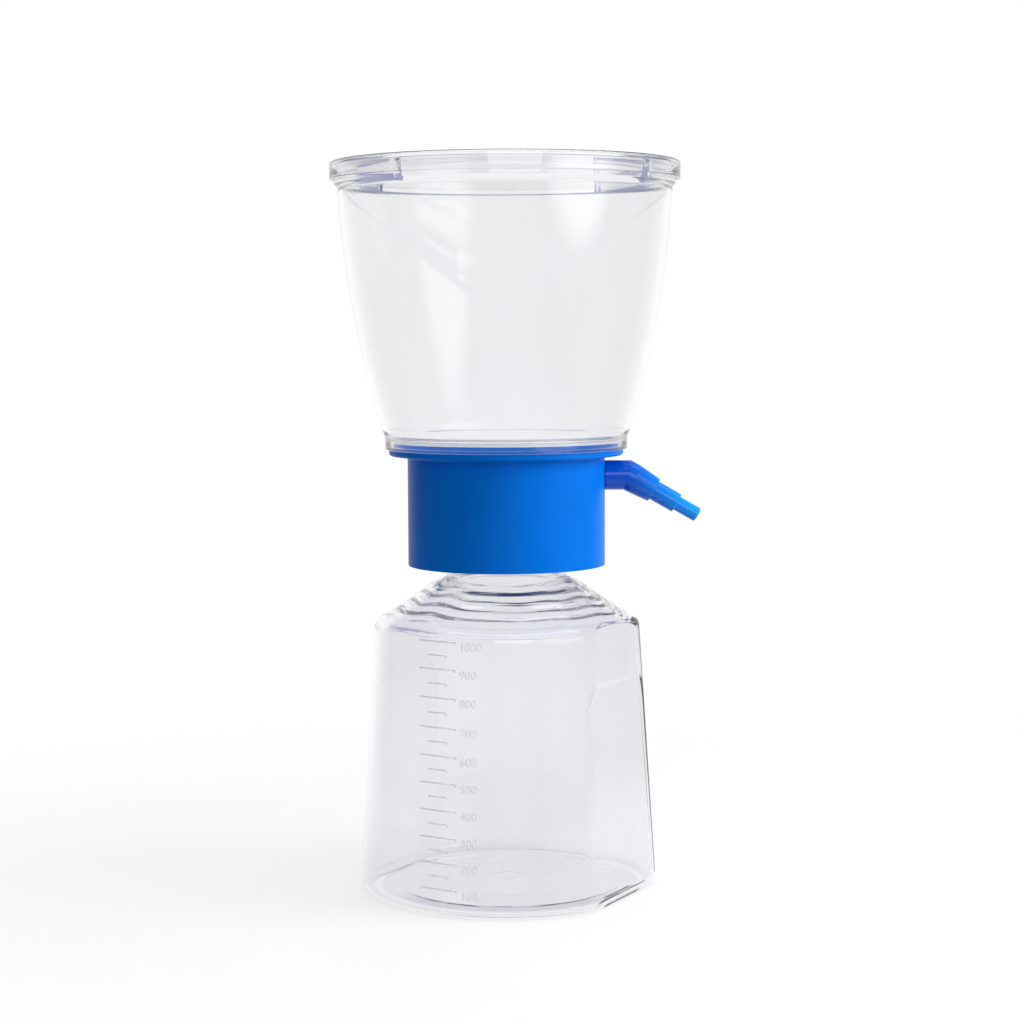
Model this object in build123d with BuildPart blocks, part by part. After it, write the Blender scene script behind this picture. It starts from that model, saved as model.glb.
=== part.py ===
from build123d import *
from math import ceil, cos, radians, sin, tan
import os

# Vacuum filtration unit: a lidded clear funnel with a membrane filter over a threaded collar,
# screwed on a clear 1000 mL receiver bottle. Millimetres, +Z up. The origin is the middle of
# the surface that the bottle stands on. The hose connector points along +X.

# --- Receiver bottle --------------------------------------------------------------------------
bottle_turn = -29.0          # degrees about Z from +X to the middle of a grip side
bottle_wall = 1.7
foot_radius = 61.1           # tapered body's radius, carried down to the table
corner_radius = 54.1         # the same body's radius at the shoulder corner
corner_height = 111.0
foot_rounding = 5.5
corner_rounding = 3.0
foot_ring_width = 5.0        # flat ring that the bottle stands on
floor_rise = 3.2             # height of the pushed-up floor's middle
floor_ring_radius = 9.0      # small ring round the gate mark in the floor
grip_half_angle = 25.0       # half of the arc that each flat side takes out of the round body
grip_sink = 0.8              # depth of the arched recess in a flat side
grip_half_width = 22.3
grip_top = 88.8
grip_corner = 12.0
neck_step = 3.05             # plain neck's radius beyond the threaded finish's
shoulder_rise = 18.0         # from the body's corner up to the neck
neck_length = 7.0            # plain neck, up to where the threaded finish starts
finish_radius = 21.35        # root of the neck's thread
finish_wall = 2.15
finish_length = 22.0
shoulder_steps = ((32.6, 1.5), (38.6, 1.6), (44.6, 1.3))   # radius and drop of each moulded step

# --- Neck thread ------------------------------------------------------------------------------
thread_pitch = 4.2
thread_height = 1.4          # radial height of the ridge
thread_root_width = 2.4
thread_crest_width = 1.2
thread_turns = 1.25
thread_inset = 10.4          # from the mouth down to the ridge's middle where it starts, at +X
thread_clearance = 0.4
groove_end_angle = 4.0       # degrees that the groove runs on past the ridge's upper end

# --- Neck gasket ------------------------------------------------------------------------------
gasket_thickness = 2.0
gasket_width = 2.4

# --- Collar (filter base) ---------------------------------------------------------------------
skirt_radius = 40.2
skirt_wall = 2.0
skirt_length = 44.8          # below the flange
boss_wall = 2.6              # behind the thread groove
boss_length = 15.0           # below the ceiling that presses on the gasket
ceiling_thickness = 2.5
chamber_height = 19.6        # room between the ceiling and the support plate
vent_radius = 2.4
vent_circle = 12.5
vent_count = 4
rib_count = 6
rib_thickness = 1.6
rib_inset = 5.0              # ribs' lower ends, up from the boss's
flange_thickness = 3.9
flange_ledge = 1.4           # flange's edge beyond the raised ring
flange_chamfer = 0.6
skirt_chamfer = 1.2          # where the skirt runs into the flange
web_thickness = 2.5          # from the skirt in to the boss, under the support plate
seat_radius = 46.3           # raised ring round the support plate
seat_height = 1.5
seat_wall = 1.5

# --- Support plate ----------------------------------------------------------------------------
support_lip = 1.0            # thickness of the plate's rim on top of the collar's raised ring
support_clearance = 0.15     # between the plate and the ring's bore
support_channel_depth = 0.9
support_channel_width = 2.2
support_channel_spacing = 12.0
support_margin = 1.0         # plain ring between the channels and the funnel's ledge
spoke_channels = 6
drain_bore = 3.0
drain_wall = 1.5
drain_reach = 5.0            # of the spout below the collar's ceiling
drain_clearance = 0.15       # between the drain's spout and the collar's ceiling

# --- Vacuum port, its plug and the hose connector ---------------------------------------------
port_rise = 7.1              # port's axis above the ceiling
port_bore = 5.0
port_wall = 2.0
port_clearance = 0.05
plug_length = 6.0
spigot_length = 9.0
stub_length = 9.2            # from the skirt to the bend
bend_angle = 30.0            # below the horizontal
cuff_length = 12.5
cuff_taper_start = 3.0       # from the bend
cuff_taper = 0.85            # radius that the cuff loses towards its end
middle_step_length = 10.7
tip_length = 9.8
tip_radius = 3.0
limb_step = 1.1              # radius that each step of the limb adds
connector_wall = 1.2         # at the tip
step_chamfer = 0.3

# --- Membrane ---------------------------------------------------------------------------------
membrane_thickness = 0.35
membrane_margin = 0.4        # raised ring's radius beyond the membrane's edge

# --- Funnel -----------------------------------------------------------------------------------
funnel_wall = 1.8
weld_clearance = 0.15
weld_wall = 1.45             # funnel's ring round the flange's edge
weld_overlap = 1.3           # how far the ring reaches down over the flange's edge
funnel_ring_height = 4.6
ledge_width = 1.3            # in from the raised ring's outside, over the membrane's edge
ledge_thickness = 1.4
cup_foot_flare = 1.0         # cup's foot beyond the ring
cup_foot_rise = 2.8
cup_mid_flare = 11.0         # cup's middle beyond its foot
cup_mid_rise = 44.6
cup_top_flare = 17.3         # cup's top beyond its foot
cup_top_rise = 97.8
rim_width = 1.3
rim_height = 7.2

# --- Lid --------------------------------------------------------------------------------------
lid_thickness = 1.85
lid_skirt_wall = 1.5
lid_skirt_length = 5.4
lid_skirt_clearance = 0.4
lid_chamfer = 0.8
locating_clearance = 0.3
locating_wall = 1.3
locating_depth = 7.6
locating_half_angle = 42.5   # half of each of the two opposite arcs
locating_turn = 9.0          # degrees from +X to the middle of an arc
lug_width = 2.4              # thicker ends of the arcs
lug_depth = 2.4

# --- Worked-out sizes -------------------------------------------------------------------------
neck_radius = finish_radius + neck_step
neck_bore = finish_radius - finish_wall
neck_foot_height = corner_height + shoulder_rise
collar_seat_height = neck_foot_height + neck_length
mouth_height = collar_seat_height + finish_length
thread_start = mouth_height - thread_inset
finish_crest = finish_radius + thread_height
boss_bore = finish_radius + thread_clearance
groove_radius = finish_crest + thread_clearance
boss_radius = groove_radius + boss_wall
ceiling_bottom = mouth_height + gasket_thickness
ceiling_top = ceiling_bottom + ceiling_thickness
boss_bottom = ceiling_bottom - boss_length
rib_bottom = boss_bottom + rib_inset
drain_bottom = ceiling_bottom - drain_reach
flange_top = ceiling_top + chamber_height
flange_bottom = flange_top - flange_thickness
web_bottom = flange_top - web_thickness
skirt_bottom = flange_bottom - skirt_length
skirt_bore = skirt_radius - skirt_wall
seat_top = flange_top + seat_height
seat_bore = seat_radius - seat_wall
flange_radius = seat_radius + flange_ledge
support_top = seat_top + support_lip    # tops of the lands that carry the membrane
port_height = ceiling_top + port_rise
bend_distance = skirt_radius + stub_length
connector_bore = tip_radius - connector_wall
middle_step_radius = tip_radius + limb_step
cuff_end_radius = middle_step_radius + limb_step
stub_radius = cuff_end_radius + cuff_taper
membrane_radius = seat_radius - membrane_margin
ledge_inner_radius = seat_radius - ledge_width
ledge_bottom = support_top + membrane_thickness
ledge_top = ledge_bottom + ledge_thickness
funnel_ring_bore = flange_radius + weld_clearance
funnel_ring_radius = funnel_ring_bore + weld_wall
funnel_ring_bottom = flange_top - weld_overlap
funnel_ring_top = funnel_ring_bottom + funnel_ring_height
cup_foot_radius = funnel_ring_radius + cup_foot_flare
cup_foot_height = funnel_ring_top + cup_foot_rise
cup_mid_radius = cup_foot_radius + cup_mid_flare
cup_mid_height = cup_foot_height + cup_mid_rise
cup_top_radius = cup_foot_radius + cup_top_flare
cup_top_height = cup_foot_height + cup_top_rise
rim_radius = cup_top_radius + rim_width
rim_bottom = cup_top_height + rim_width
rim_top = rim_bottom + rim_height
skirt_inside = rim_radius + lid_skirt_clearance
lid_radius = skirt_inside + lid_skirt_wall
lid_top = rim_top + lid_thickness
lid_skirt_bottom = rim_top - lid_skirt_length
locating_radius = cup_top_radius - funnel_wall - locating_clearance
locating_bottom = rim_top - locating_depth
body_slope = (foot_radius - corner_radius) / corner_height
grip_foot = foot_radius * cos(radians(grip_half_angle))
grip_lean = body_slope * cos(radians(grip_half_angle))
neck_slope_drop = 1.13       # vertical thickness of the sloping shoulder, for one unit of wall
mould_overlap = 0.4          # how far a moulded-on rib reaches into its carrier


def shoulder_points(sink):
    """Stepped shoulder from the body's corner to the neck, lowered by sink."""
    run = corner_radius - neck_radius
    rise = neck_foot_height - corner_height - sum(drop for radius, drop in shoulder_steps)
    points = [(corner_radius, corner_height)]
    height = corner_height
    last = corner_radius
    for radius, drop in reversed(shoulder_steps):
        height += rise * (last - radius) / run
        points.append((radius + drop / 2, height))
        height += drop
        points.append((radius - drop / 2, height))
        last = radius
    points.append((neck_radius, neck_foot_height))
    return [(radius, height - sink) for radius, height in points]


def body_outline(inset, sink, top_points):
    """Half section of the bottle from its floor's middle, up the wall, to the given neck."""
    ring_outer = foot_radius - foot_rounding
    ring_inner = ring_outer - foot_ring_width
    floor = [
        (0, floor_rise + inset),
        (floor_ring_radius, floor_rise - 0.6 + inset),
        (floor_ring_radius + 2, floor_rise - 1.0 + inset),
        (ring_inner - 3, 1.0 + inset),
        (ring_inner, inset),
    ]
    wall = [(foot_radius - inset, inset)]
    shoulder = shoulder_points(sink)
    shoulder[0] = (corner_radius - inset, shoulder[0][1])
    shoulder[-1] = (neck_radius - inset, shoulder[-1][1])
    return floor + wall + shoulder + top_points


def corner_at(x, y):
    """Selects a section's corner by its place in the sketch."""
    return lambda v: abs(v.X - x) < 0.01 and abs(v.Y - y) < 0.01


def upright_plane(angle):
    """Vertical plane through the axis, its x direction turned by angle from +X."""
    turn = radians(angle)
    return Plane(origin=(0, 0, 0), x_dir=(cos(turn), sin(turn), 0), z_dir=(sin(turn), -cos(turn), 0))


def cut_grips(inset):
    """Take the two flat sides, with their arched recesses, off the body in the open block."""
    low = grip_foot + grip_lean - inset
    high = grip_foot - grip_lean * neck_foot_height - inset
    reach = 2 * foot_radius
    width = 2 * (grip_half_width - inset)
    top = grip_top - inset
    for side in (bottle_turn, bottle_turn + 180):
        with BuildSketch(upright_plane(side)) as flat:
            with BuildLine():
                Polyline(
                    (low, -1),
                    (high, neck_foot_height),
                    (reach, neck_foot_height),
                    (reach, -1),
                    close=True,
                )
            make_face()
        extrude(flat.sketch, amount=foot_radius, both=True, mode=Mode.SUBTRACT)
        turn = radians(side)
        foot = Vector(cos(turn), sin(turn), 0) * (grip_foot - inset)
        outward = (cos(turn), sin(turn), grip_lean)
        with BuildSketch(Plane(origin=foot, x_dir=(-sin(turn), cos(turn), 0), z_dir=outward)) as recess:
            with Locations((0, top / 2 - 5)):
                Rectangle(width, top + 10)
            fillet(recess.vertices().group_by(Axis.Z)[-1], grip_corner - inset)
        extrude(recess.sketch, amount=-grip_sink, mode=Mode.SUBTRACT)


# --- Bottle -----------------------------------------------------------------------------------
with BuildPart() as bottle_cavity:
    bore_top = [
        (neck_radius - bottle_wall, collar_seat_height - neck_slope_drop * bottle_wall),
        (neck_bore, collar_seat_height),
        (neck_bore, mouth_height + 1),
        (0, mouth_height + 1),
    ]
    with BuildSketch(Plane.XZ) as cavity_section:
        with BuildLine():
            Polyline(*body_outline(bottle_wall, neck_slope_drop * bottle_wall, bore_top), close=True)
        make_face()
        foot = cavity_section.vertices().filter_by(corner_at(foot_radius - bottle_wall, bottle_wall))
        chamfer(foot, foot_rounding - bottle_wall)
    revolve(axis=Axis.Z)
    cut_grips(bottle_wall)

with BuildPart() as bottle:
    finish = [
        (neck_radius, collar_seat_height - 1),
        (finish_radius, collar_seat_height),
        (finish_radius, mouth_height),
        (0, mouth_height),
    ]
    with BuildSketch(Plane.XZ) as bottle_section:
        with BuildLine():
            Polyline(*body_outline(0, 0, finish), close=True)
        make_face()
        corners = bottle_section.vertices()
        fillet(corners.filter_by(lambda v: v.X > foot_radius - 0.01), foot_rounding)
        fillet(corners.filter_by(lambda v: abs(v.X - corner_radius) < 0.01), corner_rounding)
    revolve(axis=Axis.Z)
    cut_grips(0)
    add(bottle_cavity.part, mode=Mode.SUBTRACT)

    # Thread ridge: a trapezoid carried up a right-hand helix round the finish.
    with BuildLine(Plane.XY.offset(thread_start)) as ridge_path:
        Helix(pitch=thread_pitch, height=thread_pitch * thread_turns, radius=finish_radius)
    ridge_start = Plane(origin=ridge_path.line @ 0, x_dir=(1, 0, 0), z_dir=ridge_path.line % 0)
    with BuildSketch(ridge_start) as ridge_section:
        with BuildLine():
            Polyline(
                (-mould_overlap, -thread_root_width / 2),
                (thread_height, -thread_crest_width / 2),
                (thread_height, thread_crest_width / 2),
                (-mould_overlap, thread_root_width / 2),
                close=True,
            )
        make_face()
    sweep(path=ridge_path.line, is_frenet=True)
bottle.part.label = "bottle"


# --- Neck gasket ------------------------------------------------------------------------------
with BuildPart() as neck_gasket:
    with BuildSketch(Plane.XY.offset(mouth_height)):
        Circle(finish_radius - thread_clearance / 2)
        Circle(finish_radius - thread_clearance / 2 - gasket_width, mode=Mode.SUBTRACT)
    extrude(amount=gasket_thickness)
neck_gasket.part.label = "neck_gasket"


# --- Collar -----------------------------------------------------------------------------------
with BuildPart() as filter_base:
    # Skirt, flange with its raised ring, and the inner boss with its ceiling, which presses the
    # gasket on the bottle's mouth. The support plate covers the room over the ceiling.
    with BuildSketch(Plane.XZ) as collar_section:
        with BuildLine():
            Polyline(
                (0, ceiling_bottom),
                (boss_bore, ceiling_bottom),
                (boss_bore, boss_bottom),
                (boss_radius, boss_bottom),
                (boss_radius, web_bottom),
                (skirt_bore, web_bottom),
                (skirt_bore, skirt_bottom),
                (skirt_radius, skirt_bottom),
                (skirt_radius, flange_bottom),
                (flange_radius, flange_bottom),
                (flange_radius, flange_top),
                (seat_radius, flange_top),
                (seat_radius, seat_top),
                (seat_bore, seat_top),
                (seat_bore, flange_top),
                (boss_bore, flange_top),
                (boss_bore, ceiling_top),
                (0, ceiling_top),
                close=True,
            )
        make_face()
        corners = collar_section.vertices()
        chamfer(corners.filter_by(corner_at(skirt_radius, flange_bottom)), skirt_chamfer)
        edge = collar_section.vertices().filter_by(lambda v: abs(v.X - flange_radius) < 0.01)
        chamfer(edge, flange_chamfer)
    revolve(axis=Axis.Z)

    # Ribs between the boss and the skirt.
    rib_length = skirt_bore - boss_radius + 2 * mould_overlap
    with BuildSketch(Plane.XY.offset(rib_bottom)):
        with PolarLocations((skirt_bore + boss_radius) / 2, rib_count, start_angle=180 / rib_count):
            Rectangle(rib_length, rib_thickness)
    extrude(amount=web_bottom - rib_bottom + mould_overlap)

    # Vacuum port, from outside the skirt to the room over the ceiling.
    with BuildSketch(Plane.YZ.offset(boss_bore + mould_overlap)):
        with Locations((0, port_height)):
            Circle(port_bore + port_wall)
    extrude(amount=skirt_bore - boss_bore)
    with BuildSketch(Plane.YZ.offset(boss_bore - 1)):
        with Locations((0, port_height)):
            Circle(port_bore)
    extrude(amount=skirt_radius - boss_bore + 2, mode=Mode.SUBTRACT)

    # Vents that draw the air out of the bottle, and the hole that the drain's spout passes.
    with BuildSketch(Plane.XY.offset(ceiling_bottom)):
        Circle(drain_bore + drain_wall + drain_clearance)
        with PolarLocations(vent_circle, vent_count, start_angle=180 / vent_count):
            Circle(vent_radius)
    extrude(amount=ceiling_thickness, mode=Mode.SUBTRACT)

    # Thread groove in the boss: the neck's ridge with its clearance, run on down to the open end.
    lead_turns = ceil((thread_start - boss_bottom) / thread_pitch)
    groove_turns = lead_turns + thread_turns + groove_end_angle / 360
    with BuildLine(Plane.XY.offset(thread_start - lead_turns * thread_pitch)) as groove_path:
        Helix(pitch=thread_pitch, height=thread_pitch * groove_turns, radius=boss_bore)
    groove_start = Plane(origin=groove_path.line @ 0, x_dir=(1, 0, 0), z_dir=groove_path.line % 0)
    with BuildSketch(groove_start):
        with BuildLine():
            Polyline(
                (-mould_overlap, -thread_root_width / 2 - thread_clearance),
                (thread_height, -thread_crest_width / 2 - thread_clearance),
                (thread_height, thread_crest_width / 2 + thread_clearance),
                (-mould_overlap, thread_root_width / 2 + thread_clearance),
                close=True,
            )
        make_face()
    sweep(path=groove_path.line, is_frenet=True, mode=Mode.SUBTRACT)
filter_base.part.label = "filter_base"


# --- Support plate ----------------------------------------------------------------------------
with BuildPart() as support_plate:
    with BuildSketch(Plane.XY.offset(flange_top)):
        Circle(seat_bore - support_clearance)
    extrude(amount=support_top - flange_top)
    with BuildSketch(Plane.XY.offset(seat_top)):
        Circle(seat_radius)
    extrude(amount=support_lip)
    # Drain spout, through the collar's ceiling, into the bottle's neck.
    with BuildSketch(Plane.XY.offset(drain_bottom)):
        Circle(drain_bore + drain_wall)
    extrude(amount=flange_top - drain_bottom)
    with BuildSketch(Plane.XY.offset(drain_bottom)):
        Circle(drain_bore)
    extrude(amount=support_top - drain_bottom, mode=Mode.SUBTRACT)
    # Ring and spoke channels: the lands between them carry the membrane.
    channel_room = ledge_inner_radius - support_margin - drain_bore
    channel_count = int(channel_room // support_channel_spacing)
    with BuildSketch(Plane.XY.offset(support_top)):
        for ring in range(channel_count, 0, -1):
            Circle(drain_bore + ring * support_channel_spacing)
            Circle(drain_bore + ring * support_channel_spacing - support_channel_width, mode=Mode.SUBTRACT)
        channel_reach = drain_bore + channel_count * support_channel_spacing - support_channel_width / 2
        with PolarLocations(channel_reach / 2, spoke_channels):
            Rectangle(channel_reach, support_channel_width)
    extrude(amount=-support_channel_depth, mode=Mode.SUBTRACT)
support_plate.part.label = "support_plate"


# --- Port plug --------------------------------------------------------------------------------
spigot_end = skirt_radius - spigot_length
with BuildPart() as port_plug:
    with BuildSketch(Plane.YZ.offset(spigot_end)):
        with Locations((0, port_height)):
            Circle(port_bore - port_clearance)
    extrude(amount=-plug_length)
port_plug.part.label = "port_plug"


# --- Hose connector ---------------------------------------------------------------------------
bend = Vector(bend_distance, 0, port_height)
slope = radians(bend_angle)
downhill = Vector(cos(slope), 0, -sin(slope))
mitre = Plane(origin=bend, x_dir=(0, 1, 0), z_dir=(cos(slope / 2), 0, -sin(slope / 2)))
mitre_reach = stub_radius * tan(slope / 2)


with BuildPart() as level_limb:
    with BuildSketch(Plane.YZ.offset(spigot_end)):
        with Locations((0, port_height)):
            Circle(port_bore - port_clearance)
    extrude(amount=spigot_length)
    with BuildSketch(Plane.YZ.offset(skirt_radius)):
        with Locations((0, port_height)):
            Circle(stub_radius)
    extrude(amount=bend_distance - skirt_radius + 2 * mitre_reach)
    with BuildSketch(Plane.YZ.offset(spigot_end)):
        with Locations((0, port_height)):
            Circle(connector_bore)
    extrude(amount=bend_distance - spigot_end + 2 * mitre_reach, mode=Mode.SUBTRACT)
    split(bisect_by=mitre, keep=Keep.BOTTOM)

with BuildPart() as sloping_limb:
    middle_start = cuff_length
    tip_start = middle_start + middle_step_length
    tip_end = tip_start + tip_length
    # Drawn with x along the limb and y outward, then turned about the limb's own axis.
    with BuildSketch(Plane(origin=bend, x_dir=downhill, z_dir=(0, -1, 0))) as limb_section:
        with BuildLine():
            Polyline(
                (-2 * mitre_reach, connector_bore),
                (-2 * mitre_reach, stub_radius),
                (cuff_taper_start, stub_radius),
                (middle_start, cuff_end_radius),
                (middle_start, middle_step_radius),
                (tip_start, middle_step_radius),
                (tip_start, tip_radius),
                (tip_end, tip_radius),
                (tip_end, connector_bore),
                close=True,
            )
        make_face()
        for end in ((middle_start, cuff_end_radius), (tip_start, middle_step_radius), (tip_end, tip_radius)):
            chamfer(limb_section.vertices().filter_by(corner_at(*end)), step_chamfer)
    revolve(axis=Axis(bend, downhill))
    split(bisect_by=mitre, keep=Keep.TOP)

with BuildPart() as hose_connector:
    add(level_limb.part)
    add(sloping_limb.part)
hose_connector.part.label = "hose_connector"


# --- Membrane ---------------------------------------------------------------------------------
with BuildPart() as membrane:
    with BuildSketch(Plane.XY.offset(support_top)):
        Circle(membrane_radius)
    extrude(amount=membrane_thickness)
membrane.part.label = "membrane"


# --- Funnel -----------------------------------------------------------------------------------
with BuildPart() as funnel:
    with BuildSketch(Plane.XZ):
        with BuildLine():
            Polyline(
                (ledge_inner_radius, ledge_bottom),
                (seat_radius + weld_clearance, ledge_bottom),
                (seat_radius + weld_clearance, flange_top),
                (funnel_ring_bore, flange_top),
                (funnel_ring_bore, funnel_ring_bottom),
                (funnel_ring_radius, funnel_ring_bottom),
                (funnel_ring_radius, funnel_ring_top),
                (cup_foot_radius, cup_foot_height),
            )
            ThreePointArc(
                (cup_foot_radius, cup_foot_height),
                (cup_mid_radius, cup_mid_height),
                (cup_top_radius, cup_top_height),
            )
            Polyline(
                (cup_top_radius, cup_top_height),
                (rim_radius, rim_bottom),
                (rim_radius, rim_top),
                (cup_top_radius - funnel_wall, rim_top),
                (cup_top_radius - funnel_wall, cup_top_height),
            )
            ThreePointArc(
                (cup_top_radius - funnel_wall, cup_top_height),
                (cup_mid_radius - funnel_wall, cup_mid_height),
                (cup_foot_radius - funnel_wall, cup_foot_height),
            )
            Polyline(
                (cup_foot_radius - funnel_wall, cup_foot_height),
                (cup_foot_radius - funnel_wall, ledge_top),
                (ledge_inner_radius, ledge_top),
                (ledge_inner_radius, ledge_bottom),
            )
        make_face()
    revolve(axis=Axis.Z)
funnel.part.label = "funnel"


# --- Lid --------------------------------------------------------------------------------------
with BuildPart() as lid:
    with BuildSketch(Plane.XZ) as lid_section:
        with BuildLine():
            Polyline(
                (0, rim_top),
                (skirt_inside, rim_top),
                (skirt_inside, lid_skirt_bottom),
                (lid_radius, lid_skirt_bottom),
                (lid_radius, lid_top),
                (0, lid_top),
                close=True,
            )
        make_face()
        corners = lid_section.vertices()
        chamfer(corners.filter_by(corner_at(lid_radius, lid_top)), lid_chamfer)
    revolve(axis=Axis.Z)

    # Two opposite arcs that hold the lid inside the funnel's mouth, thicker at their ends.
    reach = 2 * lid_radius
    for side in (locating_turn, locating_turn + 180):
        first = radians(side - locating_half_angle)
        last = radians(side + locating_half_angle)
        with BuildSketch(Plane.XY.offset(locating_bottom)):
            Circle(locating_radius)
            Circle(locating_radius - locating_wall, mode=Mode.SUBTRACT)
            Polygon(
                (0, 0),
                (reach * cos(first), reach * sin(first)),
                (reach * cos(last), reach * sin(last)),
                align=None,
                mode=Mode.INTERSECT,
            )
            for angle in (side - locating_half_angle, side + locating_half_angle):
                with PolarLocations(locating_radius - lug_depth / 2 - 0.1, 1, start_angle=angle):
                    Rectangle(lug_depth, lug_width)
        extrude(amount=rim_top - locating_bottom)
lid.part.label = "lid"


# --- Files ------------------------------------------------------------------------------------
pieces = (
    bottle,
    neck_gasket,
    filter_base,
    port_plug,
    hose_connector,
    support_plate,
    membrane,
    funnel,
    lid,
)
os.makedirs("parts", exist_ok=True)
for piece in pieces:
    export_step(piece.part, f"parts/{piece.part.label}.step")
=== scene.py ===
"""Finishes the vacuum filtration unit: clear vessels, blue collar, connector, filter and studio."""
from math import ceil

import bpy
import numpy as np
from bpy.props import FloatProperty, FloatVectorProperty, PointerProperty
from bpy.types import Operator, Panel, PropertyGroup
from mathutils import Matrix, Vector


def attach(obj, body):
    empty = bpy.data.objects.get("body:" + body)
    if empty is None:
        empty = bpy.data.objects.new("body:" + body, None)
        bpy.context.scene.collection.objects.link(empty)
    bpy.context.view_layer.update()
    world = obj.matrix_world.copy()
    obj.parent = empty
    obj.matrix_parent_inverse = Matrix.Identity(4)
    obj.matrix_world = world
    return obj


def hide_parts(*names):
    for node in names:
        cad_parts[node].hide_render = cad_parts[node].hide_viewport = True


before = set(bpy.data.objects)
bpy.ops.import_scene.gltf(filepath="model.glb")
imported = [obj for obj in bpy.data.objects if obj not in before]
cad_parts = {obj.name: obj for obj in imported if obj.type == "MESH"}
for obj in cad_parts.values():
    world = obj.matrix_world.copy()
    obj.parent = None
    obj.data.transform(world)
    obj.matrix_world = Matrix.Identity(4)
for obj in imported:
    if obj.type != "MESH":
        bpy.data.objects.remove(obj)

bl_info = {
    "name": "Vacuum filtration unit finish",
    "version": (1, 0, 0),
    "blender": (4, 5, 0),
    "location": "View3D > Sidebar > Filtration",
    "description": "Builds the clear vessels, scale, collar, connector and studio of the unit",
    "category": "Object",
}

MM = 0.001


# --- Profiles and skins -------------------------------------------------------------------------

def rounded_profile(corners, steps):
    """Polyline of (r, z) with rounded corners of so many steps; corners holds (r, z, rounding).

    A corner with rounding q and half inside angle h gets an arc of radius q about the point
    q / sin(h) along the bisector, from tangent points q / tan(h) before and after the corner.
    """
    spots = np.array([corner[:2] for corner in corners], float)
    rows = []
    for i, (here, corner) in enumerate(zip(spots, corners)):
        rounding = corner[2]
        if rounding == 0 or i in (0, len(corners) - 1):
            rows.append(here[None])
            continue
        before = (spots[i - 1] - here) / np.linalg.norm(spots[i - 1] - here)
        after = (spots[i + 1] - here) / np.linalg.norm(spots[i + 1] - here)
        half = np.arccos(np.clip(before @ after, -1, 1)) / 2
        bisector = (before + after) / np.linalg.norm(before + after)
        centre = here + bisector * rounding / np.sin(half)
        first = here + before * rounding / np.tan(half) - centre
        last = here + after * rounding / np.tan(half) - centre
        turn = np.pi - 2 * half
        t = np.linspace(0, 1, steps + 1)[:, None]
        arc = first * np.sin((1 - t) * turn) + last * np.sin(t * turn)
        rows.append(centre + arc / np.sin(turn))
    return np.vstack(rows)


def paced(profile, pace):
    """The profile with its runs divided so that no step is longer than pace(z) at its middle."""
    rows = []
    for a, b in zip(profile[:-1], profile[1:]):
        count = max(1, ceil(np.linalg.norm(b - a) / pace((a[1] + b[1]) / 2)))
        rows.append(a + (b - a) * np.linspace(0, 1, count, endpoint=False)[:, None])
    rows.append(profile[-1:])
    return np.vstack(rows)


def even_turn(count):
    """Angles of count columns, evenly round the axis."""
    return np.linspace(0, 2 * np.pi, count, endpoint=False)


def round_points(profile, angles):
    """x = r cos(a), y = r sin(a), z = z for each profile row and each column angle a."""
    r = profile[:, :1]
    z = np.repeat(profile[:, 1:2], len(angles), axis=1)
    return np.stack([r * np.cos(angles), r * np.sin(angles), z], axis=-1)


def grid_quads(rows, columns, hoop=False, flipped=False):
    """Quads (i, j), (i, j+1), (i+1, j+1), (i+1, j) of a grid whose columns run round.

    With hoop, the last row joins the first as well. Flipped quads run the other way.
    """
    i = np.arange(rows if hoop else rows - 1)[:, None]
    n = (i + 1) % rows
    j = np.arange(columns)
    k = (j + 1) % columns
    a, b, c, d = i * columns + j, i * columns + k, n * columns + k, n * columns + j
    return np.stack([a, d, c, b] if flipped else [a, b, c, d], axis=-1).reshape(-1, 4)


def skin(name, points, hoop=False):
    """Closed mesh from points (rows, columns, 3) in millimetres, columns running round.

    With hoop, the last row joins the first. Without it, the first and last rows each shrink
    to one pole.
    """
    rows, columns = points.shape[:2]
    if hoop:
        quads = grid_quads(rows, columns, hoop=True)
        return filled(name, points.reshape(-1, 3) * MM, quads, np.empty((0, 3), int))
    body = points[1:-1].reshape(-1, 3)
    verts = np.vstack([points[:1].mean(axis=1), body, points[-1:].mean(axis=1)])
    j = np.arange(columns)
    k = (j + 1) % columns
    last = 1 + (rows - 3) * columns
    fans = np.vstack([
        np.stack([np.zeros_like(j), k + 1, j + 1], axis=-1),
        np.stack([last + j, last + k, np.full_like(j, len(verts) - 1)], axis=-1),
    ])
    return filled(name, verts * MM, grid_quads(rows - 2, columns) + 1, fans)


def filled(name, verts, quads, triangles):
    """Smooth mesh object from whole arrays of vertices, quads and triangles."""
    mesh = bpy.data.meshes.new(name)
    mesh.vertices.add(len(verts))
    mesh.vertices.foreach_set("co", np.asarray(verts, np.float32).ravel())
    corners = np.concatenate([quads.ravel(), triangles.ravel()]).astype(np.int32)
    first_triangle = len(quads) * 4
    starts = np.concatenate([
        np.arange(len(quads)) * 4, first_triangle + np.arange(len(triangles)) * 3])
    mesh.loops.add(len(corners))
    mesh.loops.foreach_set("vertex_index", corners)
    mesh.polygons.add(len(starts))
    mesh.polygons.foreach_set("loop_start", starts.astype(np.int32))
    mesh.polygons.foreach_set("use_smooth", np.ones(len(starts), bool))
    mesh.update(calc_edges=True)
    mesh.validate()
    piece = bpy.data.objects.new(name, mesh)
    bpy.context.scene.collection.objects.link(piece)
    return piece


def soft_less(a, b, width):
    """Smooth minimum: b (1 - h) + a h - width h (1 - h), with h = 1/2 + (b - a) / (2 width)."""
    h = np.clip(0.5 + (b - a) / (2 * width), 0, 1)
    return b * (1 - h) + a * h - width * h * (1 - h)


def soft_step(x):
    """3 x^2 - 2 x^3, held at 0 and 1."""
    x = np.clip(x, 0, 1)
    return x * x * (3 - 2 * x)


def turned(angles):
    """Angles brought into -pi to pi."""
    return (angles + np.pi) % (2 * np.pi) - np.pi


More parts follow.
